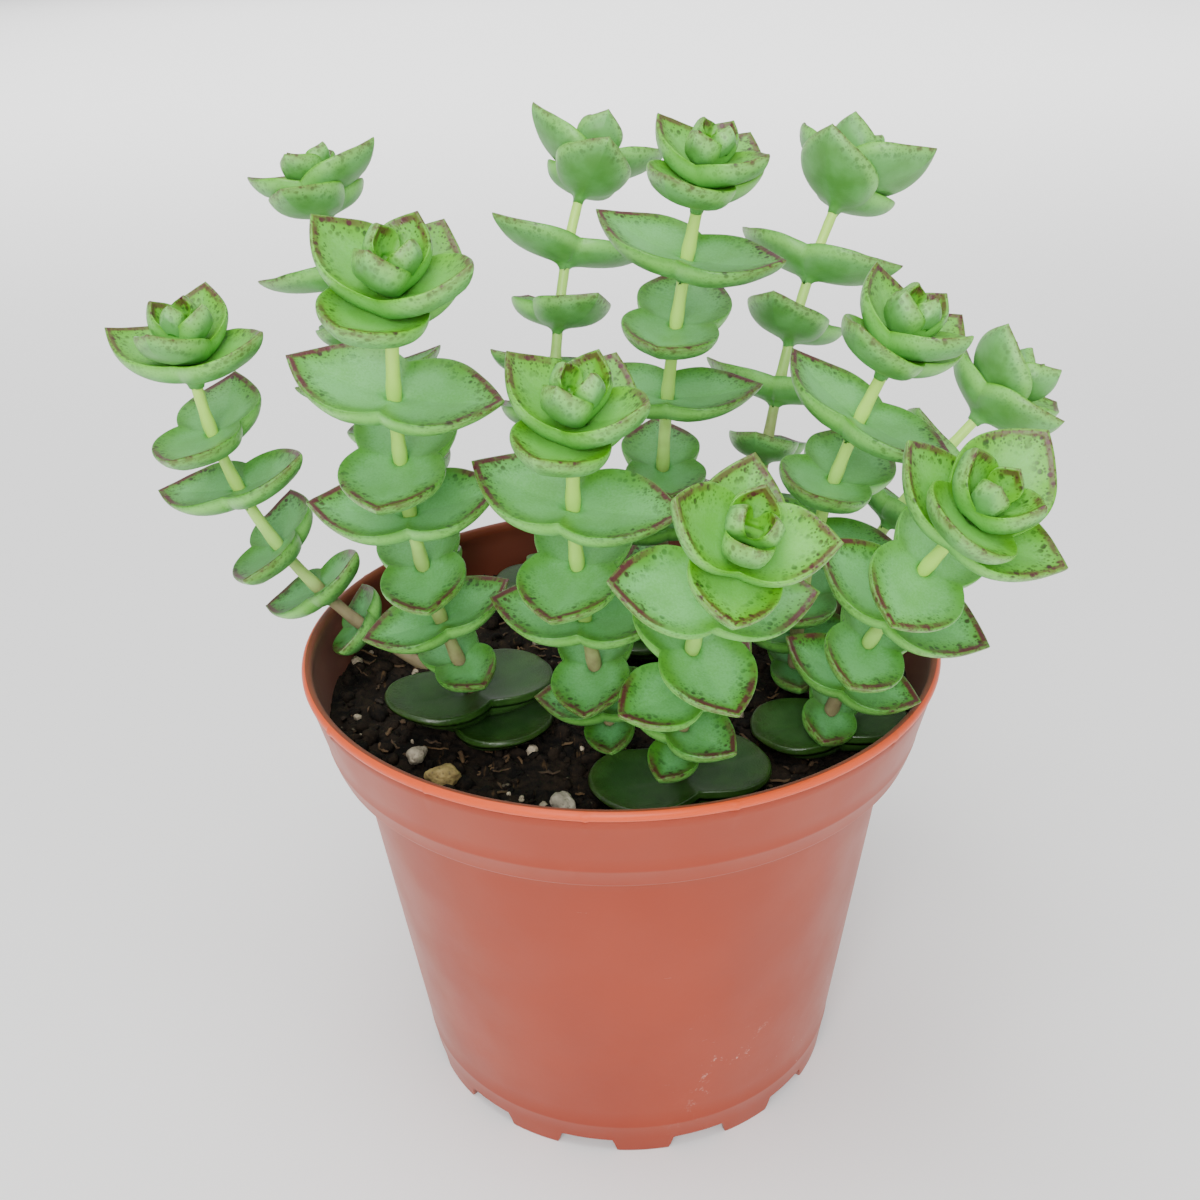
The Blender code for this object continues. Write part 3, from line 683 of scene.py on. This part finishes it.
def leaf_skin(name, young):
    """Waxy leaf with a pale bloom, dark points and a purple-red margin, fresher on the young pairs."""
    f = Finish(name)
    rim, tip, under, age, old = (f.mark(k) for k in ("rim", "tip", "under", "age", "old"))
    flat = f.mark("flat", 1)
    above = f.sum(1.0, under, "SUBTRACT")
    soft = f.node("TexNoise", Vector=flat, Scale=0.22, Detail=3.0)
    fine = f.node("TexNoise", Vector=flat, Scale=3.2, Detail=4.0, Roughness=0.6)
    # green of the flesh, the wax bloom over it, and the fresh green where the bloom thins out
    flesh = f.mix(age, (0.075, 0.310, 0.018), (0.034, 0.140, 0.016))
    bloom = f.mix(age, (0.150, 0.480, 0.140), (0.092, 0.330, 0.115))
    if young:
        flesh = f.mix(0.7, flesh, (0.120, 0.440, 0.007))
        bloom = f.mix(0.7, bloom, (0.160, 0.520, 0.060))
    wax = f.sum(f.span(rim, 0.4, 4.2, 0.04, 0.86), f.span(soft, 0.3, 0.7, -0.22, 0.22))
    wax = f.times(wax, f.span(fine, 0.30, 0.70, 0.70, 1.15))
    colour = f.mix(f.node("Clamp", wax), flesh, bloom)
    # the round underside is a clearer green; the pale band under the margin is painted light, lamplight
    # glowing through the thin margin
    hull = f.mix(f.span(soft, 0.3, 0.7), (0.085, 0.290, 0.048), (0.135, 0.410, 0.105))
    hull = f.mix(f.span(rim, 2.6, 0.7, 0.0, 0.65), hull, (0.230, 0.640, 0.110))
    colour = f.mix(under, colour, hull)
    # dark points in loose rows behind the margin, thickest near the tip
    dots = f.node("TexVoronoi", Vector=flat, Scale=0.95, Randomness=1.0)
    small = f.node("TexVoronoi", Vector=flat, Scale=1.9, Randomness=1.0)
    zone = f.times(f.span(rim, 4.6, 1.2), f.span(tip, 0.12, 0.62, 0.10, 1.0))
    patchy = f.span(f.node("TexNoise", Vector=flat, Scale=0.7, Detail=2.0), 0.35, 0.62, 0.25, 1.0)
    spot = f.times(f.span(dots, 0.46, 0.26), f.times(zone, patchy))
    wide_zone = f.times(f.span(rim, 5.0, 1.0), f.span(tip, 0.1, 0.8, 0.25, 0.8))
    spot = f.sum(spot, f.times(f.span(small, 0.40, 0.20), wide_zone), "MAXIMUM")
    shade = f.mix(f.span(tip, 0.4, 0.9), (0.012, 0.050, 0.006), (0.038, 0.014, 0.010))
    colour = f.mix(f.times(spot, f.span(above, 0.0, 1.0, 0.55, 1.0)), colour, shade)
    # the purple-red line on the crest of the margin, which fades towards the stem
    broken = f.span(f.node("TexNoise", Vector=flat, Scale=0.5, Detail=3.0), 0.32, 0.50, 0.35, 1.0)
    line = f.times(f.span(rim, 1.35, 0.85), f.span(rim, 0.05, 0.40))
    line = f.times(line, f.times(f.span(tip, 0.34, 0.74, 0.0, 1.0), broken))
    line = f.times(line, f.span(above, 0.0, 0.6, 0.25, 1.0))
    line = f.times(line, f.span(age, 0.45, 1.0, 0.95 if not young else 0.8, 0.45))
    near = f.times(f.times(f.span(rim, 1.7, 0.3), f.span(tip, 0.45, 0.9, 0, 0.65)), patchy)
    line = f.sum(line, near, "MAXIMUM")
    colour = f.mix(f.node("Clamp", line), colour, (0.085, 0.008, 0.018))
    # the broad first leaves have lost their bloom and are plain dark green
    plain = f.mix(f.span(soft, 0.3, 0.7), (0.010, 0.032, 0.0045), (0.022, 0.056, 0.009))
    colour = f.mix(f.times(old, 0.92), colour, plain)
    rough = f.mix(f.node("Clamp", wax), (0.38,) * 3, (0.52,) * 3)
    rough = f.sum(rough, f.times(old, -0.10))
    skin = f.bump(fine, 0.10 * MM, 0.35)
    skin = f.bump(spot, -0.05 * MM, 0.5, skin)
    return f.done(
        Base_Color=colour, Roughness=rough, Normal=skin, Specular_IOR_Level=0.45,
        Subsurface_Weight=0.07, Subsurface_Radius=(0.5, 1.0, 0.25), Subsurface_Scale=1.4 * MM,
    )


leaf_wax = leaf_skin("leaf_skin", False)
random.seed(3)
for key, shoot in shoots.items():
    for k, (at, up, turn, length, share, old) in enumerate(shoot.pairs()):
        thick = OLD_T if old else LEAF_T * (0.75 + 0.25 * length / LEAF_FULL)
        frame_at = square(Vector((0, 0, 1)) if old else up, at) @ Matrix.Rotation(turn, 4, "Z")
        high = 6 if old else 24 if k < shoot.loose else 20
        pts, fcs, marks = leaf_pair(length, thick, math.radians(-3), math.radians(high), frame_at, share,
                                    dish=0.3 if old else 1.0, old=old)
        leaves = piece("pair_%s%d" % (key, k + 1), pts, fcs, marks)
        leaves.data.materials.append(leaf_wax)
        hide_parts("leaves_%s%d" % (key, k + 1) if k < shoot.loose else "stem_" + key)

# ================================================================ crowns
# The growing top of each stem: three nested pairs and a closed bud, each a quarter turn on and steeper than
# the one outside it. They are one soft growth, brighter and yellower than the leaves below.
crown_wax = leaf_skin("crown_skin", True)
for key, shoot in shoots.items():
    points, faces, marks = [], [], {}
    # size per leaf, height over the stem's end, slopes at the stem and at the tip, thickness per leaf
    layers = list(zip(shoot.crown, (3.1, 5.1, 7.3), (2, 16, 34), (38, 50, 68), (1, 0.95, 0.95)))
    layers.append((shoot.crown[2] * 0.62, 8.6, 52, 84, 0.85))
    for i, (share, rise, low, high, thick) in enumerate(layers):
        turn = math.radians(shoot.turn - 90 - shoot.drift + 87 * i)
        frame_at = square(shoot.along(1), shoot.c) @ Matrix.Rotation(turn, 4, "Z")
        low, high = math.radians(low * shoot.cup), math.radians(high * shoot.cup)
        pts, fcs, made = leaf_pair(shoot.leaf * share * MM, LEAF_T * thick, low, high, frame_at, 0.0,
                                   rise=rise * MM, dish=1.1 + 0.5 * i, neck=i == 0)
        faces += [tuple(len(points) + v for v in face) for face in fcs]
        points += pts
        for name, values in made.items():
            marks.setdefault(name, []).extend(values)
    crown = piece("crown_of_" + key, points, faces, marks)
    crown.data.materials.append(crown_wax)
    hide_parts("crown_" + key)

# ================================================================ floor, light and camera
# A plain white studio table that runs out of sight, lit by broad soft lamps from above, the front and
# the side, and by a wide one behind that lights the table only.
TABLE = 12  # half width in metres
floor = bpy.data.meshes.new("table")
corners = [(x * TABLE, y * TABLE, 0) for x, y in ((-1, -1), (1, -1), (1, 1), (-1, 1))]
floor.from_pydata(corners, [], [(0, 1, 2, 3)])
table = bpy.data.objects.new("table", floor)
bpy.context.scene.collection.objects.link(table)
f = Finish("table_white")
floor.materials.append(f.done(Base_Color=(0.93, 0.93, 0.93, 1), Roughness=0.8))
table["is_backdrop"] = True

world = bpy.data.worlds.new("studio")
bpy.context.scene.world = world
world.use_nodes = True
world.node_tree.nodes["Background"].inputs[0].default_value = (1, 1, 1, 1)
world.node_tree.nodes["Background"].inputs[1].default_value = 0.75

PLANT = (0, 0, 0.09)
# name, place, what it points at, size, power and the spread of its beam in degrees
for name, place, target, size, power, spread in (
    ("top", (-0.15, -0.10, 0.90), PLANT, 0.5, 4.6, 180),
    ("front", (-0.12, -0.80, 0.52), PLANT, 0.5, 9.0, 180),
    ("side", (0.75, -0.30, 0.40), PLANT, 0.7, 1.2, 180),
    ("ground", (0, 1.90, 1.10), (0, 1.95, 0), 2.6, 42.0, 90),
):
    lamp = bpy.data.lights.new(name, "AREA")
    lamp.size, lamp.energy, lamp.spread = size, power, math.radians(spread)
    ob = bpy.data.objects.new(name, lamp)
    ob.location = place
    ob.rotation_euler = (Vector(target) - Vector(place)).to_track_quat("-Z", "Y").to_euler()
    bpy.context.scene.collection.objects.link(ob)

camera = bpy.data.cameras.new("camera")
camera.lens, camera.sensor_width = 43.02, 36
camera.clip_start, camera.clip_end = 0.01, 10
view = bpy.data.objects.new("camera", camera)
pitch, yaw, roll = math.radians(26.74), math.radians(0.217), math.radians(-1.77)
forward = Vector((math.sin(yaw) * math.cos(pitch), math.cos(yaw) * math.cos(pitch), -math.sin(pitch)))
level = Vector((math.cos(yaw), -math.sin(yaw), 0))
above = level.cross(forward)
right = level * math.cos(roll) + above * math.sin(roll)
up = above * math.cos(roll) - level * math.sin(roll)
look = Matrix((right, up, -forward)).transposed().to_4x4()
view.matrix_world = Matrix.Translation((-0.0039, -0.2116, 0.1929)) @ look
bpy.context.scene.collection.objects.link(view)
bpy.context.scene.camera = view

low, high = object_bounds()
